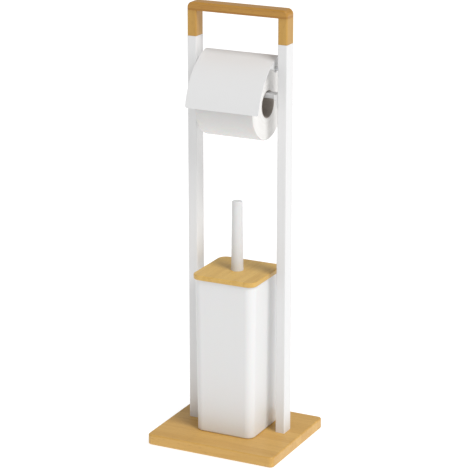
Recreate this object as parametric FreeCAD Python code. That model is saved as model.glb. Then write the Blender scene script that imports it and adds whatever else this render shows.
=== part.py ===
"""Free-standing toilet butler: brush and pot, roll under a hinged cover, on a bamboo foot.

Millimetres. X runs to the right, Y to the back and Z up, from the middle of the footprint on the floor.
"""
import FreeCAD
import Part
import math
import os

Vec = FreeCAD.Vector
X_AXIS = Vec(1, 0, 0)
Y_AXIS = Vec(0, 1, 0)
Z_AXIS = Vec(0, 0, 1)

# Driving dimensions
overall_height = 666.0
base_width = 210.0
base_depth = 180.0
base_thickness = 16.5
foot_height = 1.5
post_spacing = 146.0        # between the centre lines of the uprights
post_y = 14.0               # the uprights stand behind the middle of the board
tube_width = 15.0           # along X
tube_depth = 22.5           # along Y
tube_wall = 1.5
tube_top = 615.5
bar_thickness = 12.5        # height of the handle's cross bar
roll_diameter = 106.8
roll_width = 93.0
core_diameter = 41.0
core_wall = 0.8
roll_y = 12.0
roll_z = 524.0
pot_y = 5.5
pot_bottom_width = 95.0
pot_top_width = 100.0
pot_wall = 2.4
pot_floor = 3.0
pot_corner = 12.5           # corner radius at the floor of the pot
pot_rim_z = 259.2
lid_width = 104.0
lid_thickness = 7.5
lid_corner = 13.5
brush_top = 373.5
sheet = 1.2                 # thickness of the cover

# Clearances
running = 0.05              # radial, of a pin that turns
easy = 0.1                  # of a piece pushed into another
beside = 0.3                # between the cover's ears and what stands next to them

# Worked out from the driving dimensions
base_top = foot_height + base_thickness
bar_bottom = overall_height - bar_thickness
post_x = post_spacing / 2
inner_face = post_x - tube_width / 2
outer_face = post_x + tube_width / 2
post_front = post_y - tube_depth / 2
post_back = post_y + tube_depth / 2
roll_radius = roll_diameter / 2
core_radius = core_diameter / 2
lid_top = pot_rim_z + lid_thickness
sides = (("left", -1), ("right", 1))

# Edges of the timber and the tubes
board_corner = 7.0
timber_edge = 2.2
joint_edge = 0.4            # where a leg meets the tube or the bar
bar_corner = 8.5            # outer ends of the cross bar
tube_corner = 1.5
tube_inner_corner = 0.5

# Fasteners
pad_radius = 9.0
pad_inset = 17.0            # from the board's edges to the middle of a pad
bolt_radius = 2.5
bolt_end = base_top + 18.5
bolt_head_radius = 4.5
bolt_head_height = 3.2
washer_radius = 6.5
washer_thickness = 1.0
counterbore_radius = 7.0
counterbore_depth = 5.0
plug_height = 25.0
plug_thread = 22.0
dowel_radius = 3.0
dowel_offset = 5.5
dowel_in_bar = 9.0
dowel_in_leg = 18.0
tenon_length = 30.0
screw_radius = 2.0
screw_length = 12.0
screw_head_radius = 3.6
screw_head_height = 1.8
screw_z = tube_top - 15.0

# Cover: an arc over the roll, from its top edge behind the pins to its free front edge
cover_half = 59.0
cover_top = (21.0, 596.0)
cover_front = (-47.1, 520.2)
cover_bulge = 14.8
cover_corner = 3.0
hinge_y = 11.5
hinge_z = 578.0
ear_radius = 5.5
ear_reach = 20.0            # how far in front of its pin an ear still carries the sheet
pin_radius = 2.0
pin_head_radius = 3.5
pin_head_height = 1.4
pin_clinch_radius = 2.7
spacer_radius = 3.2

# Roll bar and its cradles
roll_bar_depth = 15.0
roll_bar_height = 7.2
roll_bar_edge = 1.5
roll_bar_top = roll_z + 17.9
roll_bar_bottom = roll_bar_top - roll_bar_height
roll_bar_end = inner_face - 1.8
cradle_reach = 5.2
cradle_wall = 1.8
cradle_plate = 1.5
cradle_floor = 2.0
cradle_skirt = 11.0         # how far the riveted plate goes on below the tray
rivet_radius = 1.6
rivet_head_radius = 3.0
rivet_clinch_radius = 2.4
rivet_z = roll_bar_bottom - 8.0
rivet_ys = (roll_y - 4.0, roll_y + 4.0)

# Brush
grip_profile = ((9.6, 0.0), (9.6, 1.0), (9.25, 4.0), (8.9, 22.0))   # radius, height over the lid
grip_top_radius = 7.9
grip_edge = 1.3
grip_socket = 25.0
stem_radius = 5.0
head_radius = 12.0
head_bottom = 37.5
head_top = 127.5
head_socket = 18.0
nut_radius = 11.0
nut_height = 8.0
lid_step = 4.0
bristle_radius = 37.0
bristle_bottom = 23.5
bristle_top = 117.5


def block(x0, x1, y0, y1, z0, z1):
    """A box between two planes on each axis."""
    return Part.makeBox(x1 - x0, y1 - y0, z1 - z0, Vec(x0, y0, z0))


def rod(radius, start, length, axis=X_AXIS):
    """A cylinder from a point along an axis."""
    return Part.makeCylinder(radius, length, start, axis)


def runs_along(edge, axis):
    """Whether a straight edge is parallel to an axis."""
    if edge.Curve.TypeId != "Part::GeomLine":
        return False
    return abs(edge.tangentAt(edge.FirstParameter).dot(axis)) > 0.999


def at_height(edge, z):
    """Whether an edge lies level at a height."""
    box = edge.BoundBox
    return abs(box.ZMin - z) < 0.01 and abs(box.ZMax - z) < 0.01


def eased(shape, radius, wanted):
    """The shape with a radius on the edges that a test picks."""
    return shape.makeFillet(radius, [edge for edge in shape.Edges if wanted(edge)])


def plate(width, depth, z0, z1, corner, x=0.0, y=0.0):
    """An upright prism with rounded corners, centred on a point."""
    box = block(x - width / 2, x + width / 2, y - depth / 2, y + depth / 2, z0, z1)
    return eased(box, corner, lambda edge: runs_along(edge, Z_AXIS))


def rounded_square(width, corner, z):
    """A level square with rounded corners round the pot's middle, as a closed wire."""
    slice_above = plate(width, width, z, z + 1, corner, 0, pot_y)
    level = [face for face in slice_above.Faces if face.BoundBox.ZMax < z + 0.01]
    return level[0].OuterWire


def domed_head(radius, height, face_point, axis):
    """A low screw or rivet head that sits on a face, with its rim rounded."""
    head = rod(radius, face_point, height, axis)
    far_level = face_point.dot(axis) + height
    rim = [edge for edge in head.Edges
           if abs(edge.CenterOfMass.dot(axis) - far_level) < 0.01 and len(edge.Vertexes) == 1]
    return head.makeFillet(height * 0.8, rim)


def wall_hole(side, radius, y, z):
    """Cutter for a round hole through the inner wall of a tube."""
    start = Vec(side * (inner_face - 1), y, z)
    return rod(radius, start, tube_wall + 2, X_AXIS * side)


def base_board():
    """Bamboo foot, bored from below for the bolts of the uprights."""
    board = plate(base_width, base_depth, foot_height, base_top, board_corner)
    board = eased(board, timber_edge, lambda edge: at_height(edge, base_top) or at_height(edge, foot_height))
    for _, side in sides:
        at = Vec(side * post_x, post_y, foot_height)
        board = board.cut(rod(counterbore_radius, at, counterbore_depth, Z_AXIS))
        board = board.cut(rod(bolt_radius + easy, at, base_thickness, Z_AXIS))
    return board


def foot_pad(side_x, side_y):
    """Rubber pad stuck under one corner."""
    at = Vec(side_x * (base_width / 2 - pad_inset), side_y * (base_depth / 2 - pad_inset), 0)
    return eased(rod(pad_radius, at, foot_height, Z_AXIS), 0.5, lambda edge: at_height(edge, 0.0))


def upright(side):
    """Steel tube with the holes for its hinge pin, cradle rivets and handle screw."""
    x = side * post_x
    tube = plate(tube_width, tube_depth, base_top, tube_top, tube_corner, x, post_y)
    tube = tube.cut(plate(tube_width - 2 * tube_wall, tube_depth - 2 * tube_wall, base_top, tube_top,
                          tube_inner_corner, x, post_y))
    tube = tube.cut(wall_hole(side, pin_radius + running, hinge_y, hinge_z))
    for rivet_y in rivet_ys:
        tube = tube.cut(wall_hole(side, rivet_radius + running, rivet_y, rivet_z))
    start = Vec(x, post_back - 2 * tube_wall, screw_z)
    return tube.cut(rod(screw_radius + running, start, 3 * tube_wall, Y_AXIS))


def upright_plug(side):
    """Threaded plug welded in the foot of a tube."""
    width = tube_width - 2 * tube_wall - 2 * easy
    depth = tube_depth - 2 * tube_wall - 2 * easy
    plug = plate(width, depth, base_top, base_top + plug_height, 1.0, side * post_x, post_y)
    return plug.cut(rod(bolt_radius + running, Vec(side * post_x, post_y, base_top), plug_thread, Z_AXIS))


def hex_socket(centre, radius, depth):
    """Six-sided recess that opens downwards."""
    corners = []
    for turn in range(6):
        angle = math.radians(60 * turn)
        corners.append(centre + Vec(radius * math.cos(angle), radius * math.sin(angle), 0))
    return Part.Face(Part.makePolygon(corners + corners[:1])).extrude(Vec(0, 0, depth))


def base_bolts():
    """One bolt up through the board into each plug, with its head in the counterbore."""
    bolts = []
    head_up = foot_height + counterbore_depth - washer_thickness
    head_down = head_up - bolt_head_height
    for _, side in sides:
        under = Vec(side * post_x, post_y, head_down)
        head = rod(bolt_head_radius, under, bolt_head_height, Z_AXIS)
        head = eased(head, 0.5, lambda edge: at_height(edge, head_down))
        shank = rod(bolt_radius, Vec(under.x, under.y, head_up - 1), bolt_end - head_up + 1, Z_AXIS)
        bolts.append(head.fuse(shank).removeSplitter().cut(hex_socket(under, 2.3, 2.0)))
    return Part.makeCompound(bolts)


def base_washers():
    """The washers over the heads of the bolts."""
    rings = []
    for _, side in sides:
        at = Vec(side * post_x, post_y, foot_height + counterbore_depth - washer_thickness)
        ring = rod(washer_radius, at, washer_thickness, Z_AXIS)
        rings.append(ring.cut(rod(bolt_radius + easy, at, washer_thickness, Z_AXIS)))
    return Part.makeCompound(rings)


def dowel_places(side):
    """Where the dowels of one leg stand."""
    return [Vec(side * post_x, post_y + offset, bar_bottom) for offset in (-dowel_offset, dowel_offset)]


def handle_bar():
    """Cross bar that the object is carried by."""
    bar = block(-outer_face, outer_face, post_front, post_back, bar_bottom, overall_height)
    bar = eased(bar, bar_corner,
                lambda edge: runs_along(edge, Y_AXIS) and edge.BoundBox.ZMin > bar_bottom + 1)
    bar = eased(bar, timber_edge, lambda edge: not runs_along(edge, Y_AXIS)
                and not at_height(edge, bar_bottom) and edge.BoundBox.YLength < 0.01)
    bar = eased(bar, joint_edge, lambda edge: at_height(edge, bar_bottom))
    for _, side in sides:
        for place in dowel_places(side):
            bar = bar.cut(rod(dowel_radius + easy, place, dowel_in_bar + 2 * easy, Z_AXIS))
    return bar


def handle_leg(side):
    """Leg flush with the tube below, with a tenon that goes down into it."""
    x = side * post_x
    leg = plate(tube_width, tube_depth, tube_top, bar_bottom, timber_edge, x, post_y)
    leg = eased(leg, joint_edge, lambda edge: at_height(edge, tube_top) or at_height(edge, bar_bottom))
    width = tube_width - 2 * tube_wall - 4 * easy
    depth = tube_depth - 2 * tube_wall - 4 * easy
    tenon = plate(width, depth, tube_top - tenon_length, tube_top + 1, 1.0, x, post_y)
    leg = leg.fuse(tenon).removeSplitter()
    for place in dowel_places(side):
        start = place - Vec(0, 0, dowel_in_leg + 2 * easy)
        leg = leg.cut(rod(dowel_radius + easy, start, dowel_in_leg + 1, Z_AXIS))
    start = Vec(x, post_back - screw_length - 1, screw_z)
    return leg.cut(rod(screw_radius + easy, start, tube_depth, Y_AXIS))


def handle_dowels():
    """Beech dowels between the legs and the bar."""
    dowels = []
    for _, side in sides:
        for place in dowel_places(side):
            start = place - Vec(0, 0, dowel_in_leg)
            dowels.append(rod(dowel_radius, start, dowel_in_leg + dowel_in_bar, Z_AXIS))
    return Part.makeCompound(dowels)


def handle_screws():
    """A cross-head screw through the back of each tube into the tenon."""
    screws = []
    arm = 2.0
    half_slot = 0.45
    for _, side in sides:
        face = Vec(side * post_x, post_back, screw_z)
        shank = rod(screw_radius, face - Vec(0, screw_length, 0), screw_length + 0.5, Y_AXIS)
        screw = domed_head(screw_head_radius, screw_head_height, face, Y_AXIS).fuse(shank).removeSplitter()
        for half_x, half_z in ((arm, half_slot), (half_slot, arm)):
            screw = screw.cut(block(face.x - half_x, face.x + half_x, face.y + 0.7, face.y + 3,
                                    face.z - half_z, face.z + half_z))
        screws.append(screw)
    return Part.makeCompound(screws)


def hinge_pin(side):
    """Stub pin riveted in the tube, with a head inside the cover's ear."""
    axis = X_AXIS * side
    ear_inside = cover_half - sheet
    head_face = Vec(side * (ear_inside - beside), hinge_y, hinge_z)
    wall_inside = inner_face + tube_wall
    shank = rod(pin_radius, head_face, wall_inside + 0.5 - ear_inside, axis)
    clinch = rod(pin_clinch_radius, Vec(side * wall_inside, hinge_y, hinge_z), 1.0, axis)
    head = domed_head(pin_head_radius, pin_head_height, head_face, axis * -1)
    return head.fuse([shank, clinch]).removeSplitter()


def hinge_spacer(side):
    """Bush on the pin that keeps the cover clear of the tube."""
    start = Vec(side * (cover_half + beside), hinge_y, hinge_z)
    length = inner_face - cover_half - beside
    axis = X_AXIS * side
    return rod(spacer_radius, start, length, axis).cut(rod(pin_radius + running, start, length, axis))


def arc_through(start, end, bulge):
    """Centre and radius of the arc between two (y, z) points that stands up by its bulge."""
    chord = math.hypot(end[0] - start[0], end[1] - start[1])
    radius = chord ** 2 / (8 * bulge) + bulge / 2
    middle = ((start[0] + end[0]) / 2, (start[1] + end[1]) / 2)
    inward = ((start[1] - end[1]) / chord, (end[0] - start[0]) / chord)
    depth = radius - bulge
    return (middle[0] + inward[0] * depth, middle[1] + inward[1] * depth), radius


def cover_ear(side, centre, radius):
    """Ear that carries the cover on its pin: an eye, and a web up to the sheet."""
    mid_radius = radius - sheet / 2
    web = [Vec(0, hinge_y - ear_radius, hinge_z), Vec(0, hinge_y + ear_radius, hinge_z)]
    for y in (cover_top[0] - 1, hinge_y - ear_reach):
        web.append(Vec(0, y, centre[1] + math.sqrt(mid_radius ** 2 - (y - centre[0]) ** 2)))
    flat = Part.Face(Part.makePolygon(web + web[:1])).extrude(Vec(sheet, 0, 0))
    eye = rod(ear_radius, Vec(0, hinge_y, hinge_z), sheet)
    ear = flat.fuse(eye).removeSplitter()
    ear.translate(Vec(cover_half - sheet if side > 0 else -cover_half, 0, 0))
    return ear


def cover():
    """Curved flap over the roll, with an ear bent down at each end of its top edge."""
    centre, radius = arc_through(cover_top, cover_front, cover_bulge)
    axle = Vec(-cover_half, centre[0], centre[1])
    ring = rod(radius, axle, 2 * cover_half).cut(rod(radius - sheet, axle, 2 * cover_half))
    start = math.atan2(cover_top[1] - centre[1], cover_top[0] - centre[0])
    end = math.atan2(cover_front[1] - centre[1], cover_front[0] - centre[0])
    reach = radius + 40
    points = [axle]
    for angle in (start, (start + end) / 2, end):
        points.append(axle + Vec(0, reach * math.cos(angle), reach * math.sin(angle)))
    wedge = Part.Face(Part.makePolygon(points + points[:1])).extrude(Vec(2 * cover_half, 0, 0))
    flap = ring.common(wedge)
    flap = eased(flap, cover_corner, lambda edge: edge.Length < 2
                 and edge.CenterOfMass.z < cover_front[1] + 5 and not runs_along(edge, X_AXIS))
    flap = flap.fuse([cover_ear(side, centre, radius) for _, side in sides]).removeSplitter()
    for _, side in sides:
        start_point = Vec(side * (cover_half - 4 * sheet), hinge_y, hinge_z)
        flap = flap.cut(rod(pin_radius + running, start_point, 8 * sheet, X_AXIS * side))
    return flap


def bar_cradle(side):
    """Open-topped cradle that an end of the roll bar drops into."""
    width = roll_bar_depth + 2 * cradle_wall + 2 * beside
    floor = roll_bar_bottom - cradle_floor
    front = roll_y - width / 2
    back = roll_y + width / 2
    back_plate = block(inner_face - cradle_plate, inner_face, front, back,
                       floor - cradle_skirt, roll_bar_top + 1)
    back_plate = eased(back_plate, 3.0, lambda edge: runs_along(edge, X_AXIS))
    tray = block(inner_face - cradle_reach, inner_face - 1, front, back, floor, roll_bar_top - 1)
    tray = eased(tray, roll_bar_edge,
                 lambda edge: runs_along(edge, X_AXIS) and edge.BoundBox.ZMax < floor + 1)
    slot = block(inner_face - cradle_reach - 1, inner_face - cradle_plate,
                 front + cradle_wall, back - cradle_wall, roll_bar_bottom, roll_bar_top + 2)
    cradle = back_plate.fuse(tray).cut(slot).removeSplitter()
    for rivet_y in rivet_ys:
        start = Vec(inner_face - cradle_plate - 1, rivet_y, rivet_z)
        cradle = cradle.cut(rod(rivet_radius + running, start, cradle_plate + 2))
    return cradle if side > 0 else cradle.mirror(Vec(0, 0, 0), X_AXIS)


def cradle_rivets():
    """Rivets that hold the cradles on the tubes."""
    rivets = []
    grip = cradle_plate + tube_wall
    for _, side in sides:
        axis = X_AXIS * side
        for rivet_y in rivet_ys:
            face = Vec(side * (inner_face - cradle_plate), rivet_y, rivet_z)
            shank = rod(rivet_radius, face, grip + 0.5, axis)
            clinch = rod(rivet_clinch_radius, face + axis * grip, 1.2, axis)
            head = domed_head(rivet_head_radius, 1.0, face, axis * -1)
            rivets.append(head.fuse([shank, clinch]).removeSplitter())
    return Part.makeCompound(rivets)


def roll_bar():
    """Flat bar that the roll hangs on."""
    bar = block(-roll_bar_end, roll_bar_end, roll_y - roll_bar_depth / 2, roll_y + roll_bar_depth / 2,
                roll_bar_bottom, roll_bar_top)
    return eased(bar, roll_bar_edge, lambda edge: runs_along(edge, X_AXIS))


def sleeve(outer, inner, half_width):
    """A hollow cylinder on the axis of the roll."""
    start = Vec(-half_width, roll_y, roll_z)
    return rod(outer, start, 2 * half_width).cut(rod(inner, start, 2 * half_width))


def paper_roll():
    """The wound paper, a plain hollow cylinder with its rims eased."""
    paper = sleeve(roll_radius, core_radius + easy, roll_width / 2)
    return eased(paper, 1.2,
                 lambda edge: edge.BoundBox.ZLength > roll_diameter - 1 and edge.BoundBox.XLength < 0.01)


def roll_core():
    """Cardboard tube inside the roll."""
    return sleeve(core_radius, core_radius - core_wall, roll_width / 2 - 0.3)


def pot_shell(inset, z0):
    """Tapered rounded-square solid, set in from the pot's outer faces."""
    lower = rounded_square(pot_bottom_width - 2 * inset, pot_corner - inset, z0)
    upper = rounded_square(pot_top_width - 2 * inset, pot_corner + 1 - inset, pot_rim_z)
    return Part.makeLoft([lower, upper], True, True)


def brush_pot():
    """Moulded pot, a little wider at its rim than at its floor."""
    outer = eased(pot_shell(0.0, base_top), 2.5, lambda edge: at_height(edge, base_top))
    pot = outer.cut(pot_shell(pot_wall, base_top + pot_floor))
    return eased(pot, 0.7, lambda edge: at_height(edge, pot_rim_z))


def brush_lid():
    """Bamboo lid fixed on the brush, with a step that centres it in the pot's mouth."""
    lid = plate(lid_width, lid_width, pot_rim_z, lid_top, lid_corner, 0, pot_y)
    lid = eased(lid, 1.4, lambda edge: at_height(edge, lid_top) or at_height(edge, pot_rim_z))
    mouth = pot_top_width - 2 * pot_wall - 2
    lid = lid.fuse(plate(mouth, mouth, pot_rim_z - lid_step, pot_rim_z + 1, 10.0, 0, pot_y)).removeSplitter()
    start = Vec(0, pot_y, pot_rim_z - lid_step - 1)
    return lid.cut(rod(stem_radius + easy, start, lid_thickness + lid_step + 2, Z_AXIS))


def lid_nut():
    """Collar under the lid that clamps it to the handle."""
    top = pot_rim_z - lid_step
    nut = rod(nut_radius, Vec(0, pot_y, top - nut_height), nut_height, Z_AXIS)
    nut = eased(nut, 1.0, lambda edge: at_height(edge, top - nut_height))
    return nut.cut(rod(stem_radius + easy, Vec(0, pot_y, top - nut_height - 1), nut_height + 2, Z_AXIS))


def brush_handle():
    """Tapered grip with a small flare where it stands on the lid."""
    outline = [(0, lid_top)] + [(radius, lid_top + height) for radius, height in grip_profile]
    outline += [(grip_top_radius, brush_top), (0, brush_top)]
    points = [Vec(radius, pot_y, z) for radius, z in outline]
    grip = Part.Face(Part.makePolygon(points + points[:1])).revolve(Vec(0, pot_y, 0), Z_AXIS, 360)
    grip = eased(grip, grip_edge, lambda edge: at_height(edge, brush_top) and edge.Length > 40)
    return grip.cut(rod(stem_radius + easy, Vec(0, pot_y, lid_top), grip_socket + 2 * easy, Z_AXIS))


def brush_stem():
    """Rod from the handle down to the head."""
    bottom = head_top - head_socket
    return rod(stem_radius, Vec(0, pot_y, bottom), lid_top + grip_socket - bottom, Z_AXIS)


def brush_head():
    """Core that the bristles are set in, with a socket for the stem."""
    head = rod(head_radius, Vec(0, pot_y, head_bottom), head_top - head_bottom, Z_AXIS)
    head = eased(head, 3.0, lambda edge: edge.BoundBox.ZLength < 0.01)
    start = Vec(0, pot_y, head_top - head_socket - 2 * easy)
    return head.cut(rod(stem_radius + easy, start, head_socket + 1, Z_AXIS))


def bristles():
    """Envelope of the bristles: a thick-walled cup round the core."""
    cup = rod(bristle_radius, Vec(0, pot_y, bristle_bottom), bristle_top - bristle_bottom, Z_AXIS)
    cup = eased(cup, 16.0, lambda edge: at_height(edge, bristle_bottom))
    cup = eased(cup, 6.0, lambda edge: at_height(edge, bristle_top))
    hollow = rod(head_radius + easy, Vec(0, pot_y, head_bottom - 2 * easy), bristle_top, Z_AXIS)
    return cup.cut(hollow)


nodes = {
    "base_board": base_board(),
    "base_bolts": base_bolts(),
    "base_washers": base_washers(),
    "handle_bar": handle_bar(),
    "handle_dowels": handle_dowels(),
    "handle_screws": handle_screws(),
    "cover": cover(),
    "cradle_rivets": cradle_rivets(),
    "roll_bar": roll_bar(),
    "paper_roll": paper_roll(),
    "roll_core": roll_core(),
    "brush_pot": brush_pot(),
    "brush_lid": brush_lid(),
    "lid_nut": lid_nut(),
    "brush_handle": brush_handle(),
    "brush_stem": brush_stem(),
    "brush_head": brush_head(),
    "bristles": bristles(),
}
for name, side in sides:
    nodes["upright_" + name] = upright(side)
    nodes["upright_plug_" + name] = upright_plug(side)
    nodes["handle_leg_" + name] = handle_leg(side)
    nodes["hinge_pin_" + name] = hinge_pin(side)
    nodes["hinge_spacer_" + name] = hinge_spacer(side)
    nodes["bar_cradle_" + name] = bar_cradle(side)
    for end, side_y in (("front", -1), ("back", 1)):
        nodes["foot_pad_" + end + "_" + name] = foot_pad(side, side_y)

os.makedirs("parts", exist_ok=True)
for name, shape in nodes.items():
    shape.exportStep("parts/" + name + ".step")
    print(f"{name:24s} {len(shape.Solids)} solids, valid {shape.isValid()}, {shape.Volume / 1000:9.2f} cm3")
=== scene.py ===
"""Looks for the free-standing toilet butler: materials, paper roll, bristles, light and camera, in metres."""
import math
import random

import bpy
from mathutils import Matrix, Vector, noise


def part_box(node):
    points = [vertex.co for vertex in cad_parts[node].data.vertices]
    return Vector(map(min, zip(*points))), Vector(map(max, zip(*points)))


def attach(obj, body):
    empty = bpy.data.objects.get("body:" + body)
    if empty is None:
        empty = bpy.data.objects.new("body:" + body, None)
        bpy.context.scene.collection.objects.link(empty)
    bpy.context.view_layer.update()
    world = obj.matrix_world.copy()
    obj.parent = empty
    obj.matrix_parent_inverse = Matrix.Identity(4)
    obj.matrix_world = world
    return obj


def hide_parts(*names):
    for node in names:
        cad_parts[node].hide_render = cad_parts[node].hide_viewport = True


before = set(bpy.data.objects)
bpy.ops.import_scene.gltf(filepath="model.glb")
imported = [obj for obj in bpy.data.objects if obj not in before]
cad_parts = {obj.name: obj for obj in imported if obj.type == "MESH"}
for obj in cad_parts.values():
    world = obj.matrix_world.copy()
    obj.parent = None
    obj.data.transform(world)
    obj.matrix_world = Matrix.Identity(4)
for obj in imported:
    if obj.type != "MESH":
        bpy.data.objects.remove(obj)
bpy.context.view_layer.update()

MM = 0.001
TURN = 2 * math.pi
AXIS_X, AXIS_Y, AXIS_Z = 0, 1, 2

roll_low, roll_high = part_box("paper_roll")
roll_centre = (roll_low + roll_high) / 2
roll_radius = (roll_high.z - roll_low.z) / 2
half_width = (roll_high.x - roll_low.x) / 2
core_low, core_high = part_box("roll_core")
core_radius = (core_high.z - core_low.z) / 2


# ---------------------------------------------------------------- node helpers

MIX_INPUTS = (0, 6, 7)      # a Mix node's factor and its two colours
MIX_OUTPUT = 2              # and its mixed colour


class Shade:
    """A material under construction: one Principled shader, and short calls for the nodes that feed it."""

    def __init__(self, name, **constants):
        self.material = bpy.data.materials.new(name)
        self.material.use_nodes = True
        self.tree = self.material.node_tree
        self.shader = self.tree.nodes["Principled BSDF"]
        for socket, value in constants.items():
            self.shader.inputs[socket.replace("_", " ")].default_value = value

    def add(self, kind, inputs=None, **settings):
        """A new node with its settings, and with values or links on its inputs."""
        made = self.tree.nodes.new(kind)
        for key, value in settings.items():
            setattr(made, key, value)
        for key, value in (inputs or {}).items():
            self.feed(made.inputs[key], value)
        return made

    def feed(self, socket, value):
        """Links a socket to another node's output, or gives it a value."""
        if isinstance(value, bpy.types.NodeSocket):
            self.tree.links.new(value, socket)
        else:
            socket.default_value = value

    def math(self, operation, *values, clamp=False):
        """One arithmetic step."""
        made = self.add("ShaderNodeMath", operation=operation, use_clamp=clamp)
        for socket, value in zip(made.inputs, values):
            self.feed(socket, value)
        return made.outputs[0]

    def place(self):
        """Object coordinates, whole and as x, y and z."""
        whole = self.add("ShaderNodeTexCoord").outputs["Object"]
        split = self.add("ShaderNodeSeparateXYZ", {0: whole})
        return whole, [split.outputs[axis] for axis in "XYZ"]

    def vector(self, x, y, z):
        """Three numbers as one vector."""
        return self.add("ShaderNodeCombineXYZ", {0: x, 1: y, 2: z}).outputs[0]

    def stretched(self, whole, scales, shift=None):
        """Coordinates scaled axis by axis, and shifted."""
        scaled = self.add("ShaderNodeVectorMath", {0: whole, 1: scales}, operation="MULTIPLY").outputs[0]
        if shift is None:
            return scaled
        return self.add("ShaderNodeVectorMath", {0: scaled, 1: shift}, operation="ADD").outputs[0]

    def noise(self, vector, scale=1.0, detail=2.0, roughness=0.5):
        """Noise from 0 to 1."""
        made = self.add("ShaderNodeTexNoise", {"Vector": vector, "Scale": scale, "Detail": detail,
                                               "Roughness": roughness})
        return made.outputs[0]

    def band(self, value, low, high):
        """A smooth step from 0 to 1 between two values."""
        made = self.add("ShaderNodeMapRange", {0: value, 1: low, 2: high}, interpolation_type="SMOOTHSTEP")
        return made.outputs[0]

    def line(self, value, slope, start):
        """A value times a slope, plus a start."""
        return self.math("ADD", self.math("MULTIPLY", value, slope), start)

    def swing(self, value, width):
        """A value from 0 to 1, turned into a swing of this width about zero."""
        return self.math("MULTIPLY", self.math("SUBTRACT", value, 0.5), width)

    def from_middle(self, running):
        """How far a running value is from the middle of its unit, 0 to 0.5."""
        return self.math("ABSOLUTE", self.math("SUBTRACT", self.math("FRACT", running), 0.5))

    def mix(self, factor, first, second):
        """Two colours mixed."""
        made = self.add("ShaderNodeMix", data_type="RGBA")
        for socket, value in zip(MIX_INPUTS, (factor, first, second)):
            self.feed(made.inputs[socket], value)
        return made.outputs[MIX_OUTPUT]

    def stain(self, colour, other, mask, amount):
        """A colour turned towards another, as far as a mask times an amount says."""
        return self.mix(self.math("MULTIPLY", mask, amount), colour, other)

    def bump(self, height, distance, strength=1.0, before=None):
        """A bump, on top of an earlier one."""
        made = self.add("ShaderNodeBump", {"Height": height, "Distance": distance, "Strength": strength})
        if before is not None:
            self.feed(made.inputs["Normal"], before)
        return made.outputs[0]

    def finish(self, colour=None, roughness=None, normal=None):
        """Connects what was built to the shader, and returns the material."""
        for name, value in (("Base Color", colour), ("Roughness", roughness), ("Normal", normal)):
            if value is not None:
                self.feed(self.shader.inputs[name], value)
        return self.material


def rgb(red, green, blue):
    """A colour socket's four numbers."""
    return (red, green, blue, 1.0)


# ------------------------------------------------------------------- materials

JOINT_PITCH = 0.23          # between the culm's joints, along a strip
JOINT_WOBBLE = 0.004        # how far a joint strays from a straight line
JOINT_STAGGER = 3.7         # how differently two strips have their joints
KNOT_REACH = (0.0028, 0.0006)
HALO_REACH = (0.012, 0.002)
GLUE_WIDTH = 0.00035
STRIP_JUMP = (9.0, 9.0, 9.0)    # how far apart two strips take their fibres from the noise
MEAN_TONE = 0.55            # from dark, 0, to light, 1
DEEPEN = (0.62, 0.56, 0.5)  # from the dark colour to the one of flecks, knots and glue


def bamboo(name, along, across, strip, shift, light, dark, contrast=0.42, knots=1.0):
    """Lacquered laminated bamboo: strips with their own tones, fibres, flecks, glue lines and knots.

    The fibres run along one axis, and the strips lie side by side across another. strip is a strip's width.
    """
    made = Shade(name, Coat_Weight=0.10, Coat_Roughness=0.25, IOR=1.45)
    whole, xyz = made.place()
    run = xyz[along]
    lane = made.math("ADD", made.math("DIVIDE", xyz[across], strip), shift)
    seed = made.math("ADD", made.math("FLOOR", lane), shift * 7)
    chance = made.add("ShaderNodeTexWhiteNoise", {"W": seed}, noise_dimensions="1D")
    tone, tint = chance.outputs[0], chance.outputs[1]
    jump = made.stretched(tint, STRIP_JUMP)

    def fibres(length, width, detail):
        """Noise drawn out along the fibres, different in every strip."""
        scales = [1 / width] * 3
        scales[along] = 1 / length
        return made.noise(made.stretched(whole, scales, jump), detail=detail)

    broad = fibres(length=0.12, width=0.007, detail=2.0)
    medium = fibres(length=0.06, width=0.0018, detail=3.0)
    fine = fibres(length=0.020, width=0.00045, detail=2.0)
    level = made.swing(tone, contrast)
    for value, width in ((broad, 0.75), (medium, 0.45), (fine, 0.22)):
        level = made.math("ADD", level, made.swing(value, width))
    level = made.math("ADD", level, MEAN_TONE, clamp=True)
    colour = made.mix(level, dark, light)

    flecks = made.band(fibres(length=0.009, width=0.0006, detail=1.0), 0.60, 0.72)
    deep = rgb(*(part * share for part, share in zip(dark, DEEPEN)))
    colour = made.stain(colour, deep, flecks, 0.34)

    wavy_run = made.math("ADD", run, made.swing(medium, JOINT_WOBBLE))
    stagger = made.math("MULTIPLY", tone, JOINT_STAGGER)
    cycle = made.math("ADD", made.math("DIVIDE", wavy_run, JOINT_PITCH), stagger)
    distance = made.math("MULTIPLY", made.from_middle(cycle), JOINT_PITCH)
    knot = made.band(distance, *KNOT_REACH)
    halo = made.band(distance, *HALO_REACH)
    colour = made.stain(colour, dark, halo, 0.16 * knots)
    colour = made.stain(colour, deep, knot, 0.34 * knots)

    glue = made.band(made.from_middle(lane), 0.5 - GLUE_WIDTH / strip, 0.5)
    colour = made.stain(colour, deep, glue, 0.45)

    roughness = made.line(medium, 0.16, 0.34)
    relief = made.math("SUBTRACT", made.math("ADD", fine, medium), made.math("MULTIPLY", glue, 1.2))
    relief = made.math("ADD", relief, made.math("MULTIPLY", knot, 0.8 * knots))
    return made.finish(colour, roughness, made.bump(relief, distance=0.00004, strength=0.55))


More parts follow.
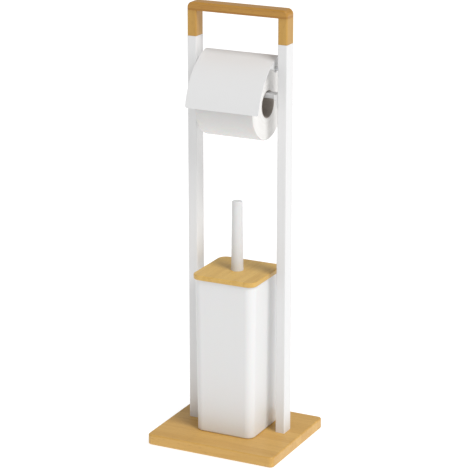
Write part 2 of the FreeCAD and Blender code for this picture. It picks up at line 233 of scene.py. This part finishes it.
def powder_coat(name, base, roughness=0.36):
    """Satin powder coat on steel: orange peel, and a faint cloud in tone and gloss."""
    made = Shade(name, Coat_Weight=0.12, Coat_Roughness=0.28, IOR=1.5)
    whole, _ = made.place()
    cloud = made.noise(whole, scale=28.0, detail=3.0)
    peel = made.noise(whole, scale=620.0, detail=2.0, roughness=0.4)
    dust = made.band(made.noise(whole, scale=2600.0, detail=1.0), 0.66, 0.74)
    colour = made.mix(cloud, rgb(*(0.985 * part for part in base)), rgb(*base))
    colour = made.stain(colour, rgb(0.55, 0.55, 0.54), dust, 0.05)
    gloss = made.line(cloud, 0.08, roughness - 0.04)
    return made.finish(colour, gloss, made.bump(peel, distance=0.00010, strength=0.5))


def moulded_plastic(name, base, roughness=0.4):
    """Satin moulded plastic: fine spark-eroded grain, and slight flow marks in the gloss."""
    made = Shade(name, IOR=1.46, Subsurface_Weight=0.04, Subsurface_Scale=0.004)
    whole, _ = made.place()
    flow = made.noise(made.stretched(whole, (34.0, 34.0, 9.0)), detail=3.0)
    grain = made.noise(whole, scale=1900.0, detail=2.0)
    colour = made.mix(flow, rgb(*(0.98 * part for part in base)), rgb(*base))
    gloss = made.line(flow, 0.10, roughness - 0.05)
    return made.finish(colour, gloss, made.bump(grain, distance=0.00004, strength=0.35))


def tissue(name):
    """Soft paper: cloudy fibres and fluff, over the embossing that the mesh has."""
    made = Shade(name, Sheen_Weight=0.25, Sheen_Roughness=0.6, Specular_IOR_Level=0.15,
                 Subsurface_Weight=0.12, Subsurface_Scale=0.003)
    whole, _ = made.place()
    fluff = made.noise(whole, scale=900.0, detail=4.0, roughness=0.65)
    cloud = made.noise(whole, scale=60.0, detail=3.0)
    colour = made.mix(cloud, rgb(0.67, 0.663, 0.652), rgb(0.71, 0.702, 0.69))
    colour = made.stain(colour, rgb(0.70, 0.68, 0.65), made.band(fluff, 0.45, 0.30), 0.10)
    roughness = made.line(fluff, 0.1, 0.88)
    return made.finish(colour, roughness, made.bump(fluff, distance=0.00012, strength=0.6))


def from_axis(made, xyz):
    """How far a point is in y and in z from the roll's own axis."""
    y = made.math("SUBTRACT", xyz[AXIS_Y], roll_centre.y)
    z = made.math("SUBTRACT", xyz[AXIS_Z], roll_centre.z)
    return y, z


def wound_edge(name):
    """The ends of the roll: close rings of wound layers."""
    made = Shade(name, Sheen_Weight=0.2, Sheen_Roughness=0.6, Specular_IOR_Level=0.12)
    whole, xyz = made.place()
    y, z = from_axis(made, xyz)
    radius = made.math("SQRT", made.math("ADD", made.math("MULTIPLY", y, y), made.math("MULTIPLY", z, z)))
    drift = made.math("MULTIPLY", made.noise(whole, scale=45.0, detail=2.0), 0.0016)
    turns = made.math("ADD", radius, drift)
    fine_turns = made.math("MULTIPLY", turns, 1700.0)
    coarse_turns = made.math("MULTIPLY", turns, 330.0)
    rings = made.noise(made.vector(fine_turns, 0.0, 0.0), detail=3.0, roughness=0.6)
    coarse = made.noise(made.vector(coarse_turns, 3.0, 0.0), detail=2.0)
    level = made.math("ADD", made.math("MULTIPLY", rings, 0.65), made.math("MULTIPLY", coarse, 0.35))
    colour = made.mix(made.band(level, 0.30, 0.62), rgb(0.77, 0.75, 0.72), rgb(0.87, 0.86, 0.845))
    fluff = made.noise(whole, scale=1500.0, detail=3.0)
    normal = made.bump(level, distance=0.00018, strength=0.7)
    normal = made.bump(fluff, distance=0.00006, strength=0.5, before=normal)
    return made.finish(colour, 0.92, normal)


def cardboard(name):
    """Grey-brown board of the core, with its spiral seam."""
    spiral_pitch = 0.068
    made = Shade(name, Specular_IOR_Level=0.2)
    whole, xyz = made.place()
    y, z = from_axis(made, xyz)
    angle = made.math("DIVIDE", made.math("ARCTAN2", y, z), TURN)
    winding = made.math("ADD", made.math("DIVIDE", xyz[AXIS_X], spiral_pitch), angle)
    seam = made.band(made.from_middle(winding), 0.020, 0.006)
    pulp = made.noise(whole, scale=420.0, detail=4.0, roughness=0.7)
    specks = made.band(made.noise(whole, scale=1300.0, detail=1.0), 0.63, 0.70)
    colour = made.mix(pulp, rgb(0.42, 0.375, 0.335), rgb(0.54, 0.49, 0.445))
    colour = made.stain(colour, rgb(0.12, 0.10, 0.085), specks, 0.5)
    colour = made.stain(colour, rgb(0.13, 0.11, 0.095), seam, 0.55)
    relief = made.math("SUBTRACT", pulp, seam)
    return made.finish(colour, 0.9, made.bump(relief, distance=0.00010, strength=0.6))


def zinc(name):
    """Zinc-plated steel: cloudy spangle and fine tool marks."""
    made = Shade(name, Metallic=1.0)
    whole, _ = made.place()
    cloud = made.noise(whole, scale=480.0, detail=3.0)
    lines = made.noise(made.stretched(whole, (300.0, 300.0, 5200.0)), detail=2.0)
    colour = made.mix(cloud, rgb(0.50, 0.50, 0.52), rgb(0.72, 0.72, 0.73))
    roughness = made.line(lines, 0.22, 0.24)
    return made.finish(colour, roughness, made.bump(lines, distance=0.00002, strength=0.5))


def rubber(name):
    """Matt dark rubber with a fine pebble."""
    made = Shade(name, Specular_IOR_Level=0.3)
    whole, _ = made.place()
    cells = made.add("ShaderNodeTexVoronoi", {"Vector": whole, "Scale": 1500.0}).outputs[0]
    dust = made.noise(whole, scale=160.0, detail=3.0)
    colour = made.mix(dust, rgb(0.035, 0.035, 0.036), rgb(0.075, 0.074, 0.073))
    roughness = made.line(dust, 0.15, 0.72)
    return made.finish(colour, roughness, made.bump(cells, distance=0.00006, strength=0.5))


def filament(name):
    """Bristle plastic: slightly clear, with a faint cloud in its tone."""
    made = Shade(name, IOR=1.45, Roughness=0.42, Subsurface_Weight=0.15, Subsurface_Scale=0.002)
    whole, _ = made.place()
    tuft = made.noise(whole, scale=210.0, detail=2.0)
    colour = made.mix(tuft, rgb(0.78, 0.785, 0.79), rgb(0.90, 0.90, 0.895))
    streak = made.noise(made.stretched(whole, (2400.0, 2400.0, 2400.0)), detail=1.0)
    return made.finish(colour, None, made.bump(streak, distance=0.00002, strength=0.3))


# ------------------------------------------ colours, and the materials of the nodes

WHITE = (0.785, 0.785, 0.785)
# the cover's white powder coat made a little lighter: painted light, for how brightly its tilted face is lit
LIT_COVER_WHITE = (0.80, 0.80, 0.80)
# the roll bar's white powder coat made darker: painted shade, for the shadow inside the paper core
SHADED_ROLL_BAR_WHITE = (0.58, 0.58, 0.58)
GRIP_WHITE = (0.72, 0.72, 0.72)
POT_WHITE = (0.79, 0.789, 0.787)
BOARD_LIGHT, BOARD_DARK = rgb(0.70, 0.43, 0.125), rgb(0.53, 0.28, 0.054)
LID_LIGHT, LID_DARK = rgb(0.77, 0.51, 0.150), rgb(0.53, 0.285, 0.050)
BAR_LIGHT, BAR_DARK = rgb(0.52, 0.265, 0.042), rgb(0.35, 0.145, 0.015)
LEG_LIGHT, LEG_DARK = rgb(0.60, 0.35, 0.080), rgb(0.45, 0.23, 0.036)
DOWEL_LIGHT, DOWEL_DARK = rgb(0.70, 0.55, 0.36), rgb(0.58, 0.43, 0.26)

steel = zinc("zinc_plated")
white_steel = powder_coat("white_powder_coat", WHITE)
# a lighter copy of the white powder coat: painted light on the cover
lit_cover_steel = powder_coat("cover_powder_coat_painted_light", LIT_COVER_WHITE)
# a darker copy of the white powder coat: painted shade on the roll bar inside the core
shaded_bar_steel = powder_coat("bar_powder_coat_painted_shade", SHADED_ROLL_BAR_WHITE)
pot_plastic = moulded_plastic("pot_plastic", POT_WHITE, roughness=0.36)
grip_plastic = moulded_plastic("grip_plastic", GRIP_WHITE, roughness=0.34)
board_bamboo = bamboo("board_bamboo", along=AXIS_X, across=AXIS_Y, strip=0.0195, shift=0.37,
                      light=BOARD_LIGHT, dark=BOARD_DARK, contrast=0.34, knots=0.12)
lid_bamboo = bamboo("lid_bamboo", along=AXIS_Y, across=AXIS_X, strip=0.087, shift=0.598,
                    light=LID_LIGHT, dark=LID_DARK, contrast=0.15, knots=0.10)
bar_bamboo = bamboo("bar_bamboo", along=AXIS_X, across=AXIS_Z, strip=0.0062, shift=0.15,
                    light=BAR_LIGHT, dark=BAR_DARK, contrast=0.42, knots=0.1)
leg_bamboo = bamboo("leg_bamboo", along=AXIS_Z, across=AXIS_Y, strip=0.0073, shift=0.31,
                    light=LEG_LIGHT, dark=LEG_DARK, contrast=0.30, knots=0.3)
dowel_wood = bamboo("dowel_wood", along=AXIS_Z, across=AXIS_X, strip=0.011, shift=0.5,
                    light=DOWEL_LIGHT, dark=DOWEL_DARK)
NODE_MATERIALS = {
    "base_board": board_bamboo,
    "brush_lid": lid_bamboo,
    "handle_bar": bar_bamboo,
    "handle_leg": leg_bamboo,
    "handle_dowels": dowel_wood,
    "upright_plug": steel,
    "upright": white_steel,
    "cover": lit_cover_steel,
    "cradle_rivets": white_steel,
    "bar_cradle": white_steel,
    "roll_bar": shaded_bar_steel,
    "hinge_spacer": grip_plastic,
    "hinge_pin": steel,
    "base_bolts": steel,
    "base_washers": steel,
    "handle_screws": steel,
    "foot_pad": rubber("pad_rubber"),
    "roll_core": cardboard("core_board"),
    "brush_pot": pot_plastic,
    "brush_handle": grip_plastic,
    "brush_stem": grip_plastic,
    "brush_head": grip_plastic,
    "lid_nut": grip_plastic,
}


def dress_cad():
    """Gives every CAD node that stays in view its material, by the start of its name."""
    for name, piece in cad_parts.items():
        starts = [start for start in NODE_MATERIALS if name.startswith(start)]
        if starts:
            piece.data.materials.clear()
            piece.data.materials.append(NODE_MATERIALS[max(starts, key=len)])


# --------------------------------------------------------------------- meshes

def new_piece(name, points, faces, materials, smooth=True):
    """A mesh object in the scene."""
    mesh = bpy.data.meshes.new(name)
    mesh.from_pydata(points, [], faces)
    for material in materials:
        mesh.materials.append(material)
    if smooth:
        mesh.shade_smooth()
    else:
        mesh.shade_flat()
    piece = bpy.data.objects.new(name, mesh)
    bpy.context.scene.collection.objects.link(piece)
    return piece


def roll_point(x, radius, angle):
    """A point on the roll, from its place along the roll, its radius and its angle."""
    return Vector((x, roll_centre.y + radius * math.cos(angle), roll_centre.z + radius * math.sin(angle)))


LAYER_STEP = 0.45 * MM      # how far the last layer stands above the one under it
LAYER_DROP = 0.004          # share of a turn in which it comes down to that one
PAPER_GAP = 0.05 * MM       # how far the paper stays inside its CAD solid
ROLL_EASE = 1.8 * MM        # rounding of the roll's rims
TAIL_ANGLE = math.radians(-38)
QUILT_PITCH = 5.6 * MM
QUILT_DEPTH = 0.20 * MM
QUILT_ROUNDNESS = 0.6       # below 1 the pillows are flat on top, with narrow grooves between
DENT_DEPTH = 0.10 * MM
DENT_SCALE = 40
RING_DEPTH = 0.14 * MM      # fine rings of layers in the roll's ends
RING_SCALE = 900
WAVE_DEPTH = 0.22 * MM      # and the broad unevenness of those ends
WAVE_SCALE = 120


def layer_radius(angle):
    """Outer radius of the wound paper, which steps down where the last sheet ends."""
    turned = ((angle - TAIL_ANGLE) % TURN) / TURN
    if turned < LAYER_DROP:
        return roll_radius - PAPER_GAP - LAYER_STEP * turned / LAYER_DROP
    return roll_radius - PAPER_GAP - LAYER_STEP * (1 - turned)


def embossing(x, angle):
    """Depth of the quilted pattern pressed into the paper."""
    around = angle * roll_radius
    u = (x + around) / QUILT_PITCH
    v = (x - around) / QUILT_PITCH
    pillow = abs(math.sin(math.pi * u) * math.sin(math.pi * v)) ** QUILT_ROUNDNESS
    dent = noise.noise(Vector((x * DENT_SCALE, around * DENT_SCALE, 0.0))) * DENT_DEPTH
    return QUILT_DEPTH * (1 - pillow) + abs(dent)


def end_sink(radius, side, angle):
    """How far an end of the roll sinks in: fine rings of layers, and a broad unevenness."""
    ring_place = Vector((radius * RING_SCALE, side * 7.0, math.cos(angle) * 0.4))
    wave_place = Vector((radius * WAVE_SCALE, math.cos(angle) * 1.3 + side * 5, math.sin(angle) * 1.3))
    return RING_DEPTH * (1 + noise.noise(ring_place)) + WAVE_DEPTH * (1 + noise.noise(wave_place))


def wound_paper(material, edge_material):
    """The roll of paper: quilted outside, wound ends and rounded rims, as one closed mesh."""
    around = 352
    across = 104
    rings = 26
    rim_steps = 4
    rim_sink = 0.2 * MM
    inner = core_radius + 0.1 * MM
    rim_radius = roll_radius - ROLL_EASE
    flat = half_width - ROLL_EASE
    profile = []
    for ring in range(rings):
        share = ring / (rings - 1)
        profile.append(("end", -1, inner + share * (rim_radius - inner), -half_width))
    for step in range(1, rim_steps + 1):
        lean = math.pi / 2 * step / (rim_steps + 1)
        radius = roll_radius - ROLL_EASE * (1 - math.sin(lean))
        profile.append(("rim", -1, radius, -flat - ROLL_EASE * math.cos(lean)))
    for step in range(across + 1):
        profile.append(("side", 0, roll_radius, -flat + 2 * flat * step / across))
    profile += [(kind, 1, radius, -x) for kind, _, radius, x in reversed(profile[:rings + rim_steps])]
    points = []
    for turn in range(around):
        angle = TURN * turn / around
        drop = layer_radius(angle) - roll_radius
        for kind, side, radius, x in profile:
            if kind == "end":
                share = (radius - inner) / (roll_radius - inner)
                x = x - side * end_sink(radius, side, angle)
                points.append(roll_point(x, radius + drop * share, angle))
            elif kind == "rim":
                points.append(roll_point(x - side * rim_sink, radius + drop, angle))
            else:
                points.append(roll_point(x, radius + drop - embossing(x, angle), angle))
    count = len(profile)
    faces = []
    for turn in range(around):
        this = turn * count
        after = (turn + 1) % around * count
        for step in range(count):
            along = (step + 1) % count
            faces.append((this + step, this + along, after + along, after + step))
    piece = new_piece("wound_paper", points, faces, [material, edge_material])
    far_end = rings + across + 2 * rim_steps - 1
    for index, face in enumerate(piece.data.polygons):
        step = index % count
        if step <= rings or far_end < step < count - 1:
            face.material_index = 1
    return piece


def paper_tail(material):
    """The loose end of the last sheet, standing a little off the roll, with its torn perforations."""
    length = 20 * MM
    lanes = 98
    steps = 12
    thickness = 0.12 * MM
    tooth_depth = 0.5 * MM
    curl_height = 0.32 * MM
    curl_unevenness = 0.35
    sink = 0.35
    highest = roll_radius + 0.16 * MM
    narrowing = 0.992
    root_radius = layer_radius(TAIL_ANGLE - 0.001)
    points = []
    for layer in (0, 1):
        for step in range(steps + 1):
            share = step / steps
            for lane in range(lanes + 1):
                x = -half_width + 2 * half_width * lane / lanes
                tooth = tooth_depth * (lane % 2) if step == steps else 0.0
                angle = TAIL_ANGLE + (share * length - tooth) / roll_radius
                curl = curl_height * share ** 2 * (1 + curl_unevenness * math.sin(x * 90))
                radius = min(root_radius - LAYER_STEP * share * sink + curl, highest)
                points.append(roll_point(x * narrowing, radius - layer * thickness, angle))
    row = lanes + 1
    half = row * (steps + 1)
    faces = []
    for step in range(steps):
        for lane in range(lanes):
            first = step * row + lane
            faces.append((first, first + 1, first + row + 1, first + row))
            faces.append((half + first, half + first + row, half + first + row + 1, half + first + 1))
    for lane in range(lanes):
        for base, flip in ((0, False), (steps * row, True)):
            quad = (base + lane, half + base + lane, half + base + lane + 1, base + lane + 1)
            faces.append(quad[::-1] if flip else quad)
    for step in range(steps):
        for edge, flip in ((0, True), (lanes, False)):
            first = step * row + edge
            quad = (first, half + first, half + first + row, first + row)
            faces.append(quad[::-1] if flip else quad)
    return new_piece("paper_tail", points, faces, [material])


TUFT_ROWS = 15
TUFT_COLUMNS = 20
TUFT_ROW_PITCH = 4.9 * MM
TUFT_FIRST_ROW = 5 * MM     # above the core's lower end
TUFT_ROOT_DEPTH = 0.8 * MM  # how far the roots are set into the core
TUFT_STRANDS = 8
TUFT_SPREAD = 0.09          # how far a filament's direction strays from its tuft's
TUFT_SCATTER = 0.7          # how far its root does, in mm
TIP_SHORTFALL = 2.0         # how far its tip may stop short of the envelope, in mm
TOP_LEAN = 0.10             # upward lean of the top row
LEAN_RANGE = -0.30          # how much further down the bottom row leans
END_TUFTS = ((2.5 * MM, 5), (6.5 * MM, 11))     # radius and number, in the core's lower end
END_ROOT_DEPTH = 0.5 * MM
END_FAN = 7 * MM            # radius where an end tuft would lean out by 45 degrees
END_TWIST = 90              # turns one end ring against the other
STRAND_WIDTH = 0.30 * MM
STRAND_SIDES = 3
STRAND_SAG = 1.2 * MM
ENVELOPE_CORNER = 16 * MM   # rounding of the brush's lower rim
ENVELOPE_STEP = 0.5         # in mm
ENVELOPE_MARGIN = 0.6       # how far a tip is drawn back from where it left the envelope, in mm


def bristle_tufts(material):
    """Tufts of tapered filaments, set radially in the core and fanning out below it."""
    dice = random.Random(11)
    low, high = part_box("bristles")
    head_low, head_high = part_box("brush_head")
    centre = (low + high) / 2
    reach = (high.x - low.x) / 2
    root_radius = (head_high.x - head_low.x) / 2
    points = []
    faces = []

    def outward_at(angle):
        """The level direction away from the brush's axis."""
        return Vector((math.cos(angle), math.sin(angle), 0))

    def strand(root, tip):
        """One filament: a thin tapered rod that sags in its middle by a random amount."""
        bend = (root + tip) / 2 + Vector((0, 0, -STRAND_SAG * dice.random()))
        direction = (tip - root).normalized()
        side = direction.cross(Vector((0.13, 0.21, 0.97))).normalized()
        other = direction.cross(side)
        start = len(points)
        for place, size in ((root, 1.0), (bend, 0.85), (tip, 0.45)):
            for turn in range(STRAND_SIDES):
                angle = TURN * turn / STRAND_SIDES
                away = side * math.cos(angle) + other * math.sin(angle)
                points.append(place + away * STRAND_WIDTH * size)
        for ring in (start, start + STRAND_SIDES):
            next_ring = ring + STRAND_SIDES
            for turn in range(STRAND_SIDES):
                after = (turn + 1) % STRAND_SIDES
                faces.append((ring + turn, ring + after, next_ring + after, next_ring + turn))
        last_ring = start + 2 * STRAND_SIDES
        faces.append(tuple(start + turn for turn in reversed(range(STRAND_SIDES))))
        faces.append(tuple(last_ring + turn for turn in range(STRAND_SIDES)))

    def envelope(direction, root):
        """Where a ray from a root leaves the rounded envelope."""
        place = root.copy()
        while True:
            place = place + direction * ENVELOPE_STEP * MM
            radius = math.hypot(place.x - centre.x, place.y - centre.y)
            limit = reach
            depth = low.z + ENVELOPE_CORNER - place.z
            if depth > 0:
                limit = reach - ENVELOPE_CORNER + math.sqrt(max(0.0, ENVELOPE_CORNER ** 2 - depth ** 2))
            if radius > limit or place.z < low.z or place.z > high.z:
                return place - direction * ENVELOPE_MARGIN * MM

    def tuft(root, direction):
        """Several filaments from almost one root, each leaning a little its own way."""
        for _ in range(TUFT_STRANDS):
            spread = Vector([dice.uniform(-TUFT_SPREAD, TUFT_SPREAD) for _ in range(3)])
            offset = Vector([dice.uniform(-TUFT_SCATTER, TUFT_SCATTER) * MM for _ in range(3)])
            leaning = (direction + spread).normalized()
            tip = envelope(leaning, root + offset)
            strand(root + offset, tip - leaning * dice.uniform(0, TIP_SHORTFALL) * MM)

    for row in range(TUFT_ROWS):
        height = head_low.z + TUFT_FIRST_ROW + row * TUFT_ROW_PITCH
        lean = LEAN_RANGE * (1 - row / (TUFT_ROWS - 1)) + TOP_LEAN
        for column in range(TUFT_COLUMNS):
            outward = outward_at(TURN * (column + 0.5 * (row % 2)) / TUFT_COLUMNS)
            root = Vector((centre.x, centre.y, height)) + outward * (root_radius - TUFT_ROOT_DEPTH)
            tuft(root, (outward + Vector((0, 0, lean))).normalized())
    for ring, count in END_TUFTS:
        for column in range(count):
            outward = outward_at(TURN * column / count + ring * END_TWIST)
            root = Vector((centre.x, centre.y, head_low.z + END_ROOT_DEPTH)) + outward * ring
            tuft(root, (outward * ring / END_FAN + Vector((0, 0, -1.0))).normalized())
    return new_piece("bristle_tufts", points, faces, [material])


def dress_soft():
    """Builds the paper and the bristles, and stands them in for their plain CAD solids."""
    paper = tissue("tissue")
    roll = wound_paper(paper, wound_edge("wound_edge"))
    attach(roll, "roll")
    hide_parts("paper_roll")
    tail = paper_tail(paper)
    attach(tail, "roll")
    tufts = bristle_tufts(filament("filament"))
    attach(tufts, "brush")
    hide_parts("bristles")


# ------------------------------------------------------------ stage and camera

FLOOR_HALF = 20.0
FLOOR_GLOW = 0.84           # the floor shines a little by itself, which keeps it white
SKY_STRENGTH = 0.46
SUN_STRENGTH = 1.9
SUN_SIZE = math.radians(24)
SUN_DIRECTION = Vector((0.60, -0.24, 0.76))
CAMERA_YAW = math.radians(26.33)
CAMERA_PITCH = math.radians(17.23)
CAMERA_DISTANCE = 3.146
CAMERA_AIM = Vector((-0.0009, -0.0004, 0.3222))
CAMERA_LENS = 162.35
CAMERA_SENSOR = 36.0
CAMERA_RANGE = 60.0


def pale_floor():
    """A wide, plain, pale floor."""
    made = Shade("pale_floor", Roughness=0.9, Specular_IOR_Level=0.1,
                 Emission_Color=rgb(1.0, 1.0, 1.0), Emission_Strength=FLOOR_GLOW)
    whole, _ = made.place()
    cloud = made.noise(whole, scale=1.3, detail=2.0)
    colour = made.mix(cloud, rgb(0.34, 0.34, 0.34), rgb(0.36, 0.36, 0.36))
    corners = [(x * FLOOR_HALF, y * FLOOR_HALF, 0) for x, y in ((-1, -1), (1, -1), (1, 1), (-1, 1))]
    floor = new_piece("floor", corners, [(0, 1, 2, 3)], [made.finish(colour)], smooth=False)


def soft_light():
    """Even white surroundings, and one wide soft light from the right, in front and above."""
    world = bpy.data.worlds.new("studio")
    world.use_nodes = True
    back = world.node_tree.nodes["Background"]
    back.inputs["Color"].default_value = rgb(1.0, 1.0, 1.0)
    back.inputs["Strength"].default_value = SKY_STRENGTH
    bpy.context.scene.world = world
    key = bpy.data.lights.new("key", "SUN")
    key.energy = SUN_STRENGTH
    key.angle = SUN_SIZE
    lamp = bpy.data.objects.new("key", key)
    lamp.rotation_euler = SUN_DIRECTION.to_track_quat("Z", "Y").to_euler()
    bpy.context.scene.collection.objects.link(lamp)


def place_camera():
    """The camera: from the right and above, far off with a long lens."""
    level = math.cos(CAMERA_PITCH)
    back = Vector((math.sin(CAMERA_YAW) * level, -math.cos(CAMERA_YAW) * level, math.sin(CAMERA_PITCH)))
    data = bpy.data.cameras.new("camera")
    data.sensor_width = CAMERA_SENSOR
    data.lens = CAMERA_LENS
    data.clip_end = CAMERA_RANGE
    camera = bpy.data.objects.new("camera", data)
    camera.location = CAMERA_AIM + back * CAMERA_DISTANCE
    camera.rotation_euler = back.to_track_quat("Z", "Y").to_euler()
    bpy.context.scene.collection.objects.link(camera)
    bpy.context.scene.camera = camera


place_camera()
soft_light()
pale_floor()
dress_cad()
dress_soft()
bpy.context.scene.view_settings.view_transform = "Standard"
